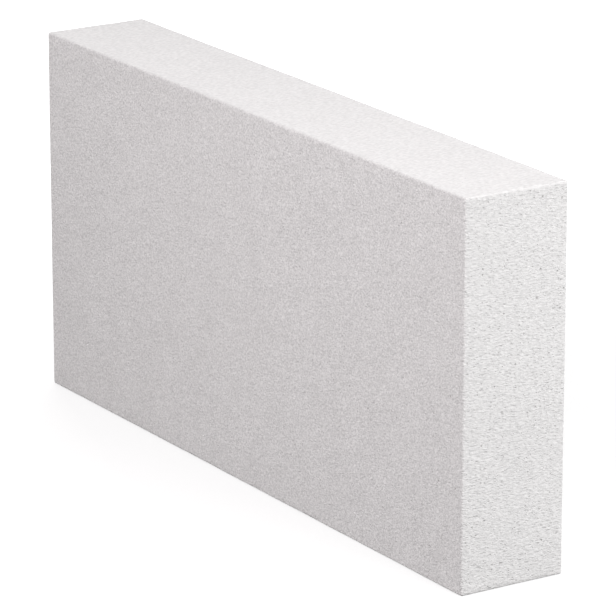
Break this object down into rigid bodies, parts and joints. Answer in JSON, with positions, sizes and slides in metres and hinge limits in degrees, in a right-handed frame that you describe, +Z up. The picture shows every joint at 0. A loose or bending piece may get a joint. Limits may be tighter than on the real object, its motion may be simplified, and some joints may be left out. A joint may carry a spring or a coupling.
{
  "type": "aerated concrete block",
  "caption": "Plain rectangular aerated concrete partition block with flat wire-cut faces and lightly eased edges, standing on its long bed face; laid in mortar to build inner walls.",
  "frame": {"origin": "middle of the lower bed face, which the block stands on", "axes": "+X along the length towards the end face seen in the picture, +Y through the wall away from the wall face seen in the picture, +Z up"},
  "size_m": [0.6, 0.09, 0.3],
  "materials": {
    "aerated_concrete": "matt white-grey, fine open pores, wire-cut grain"
  },
  "bodies": {
    "root": {"block": "aerated_concrete"}
  },
  "joints": []
}
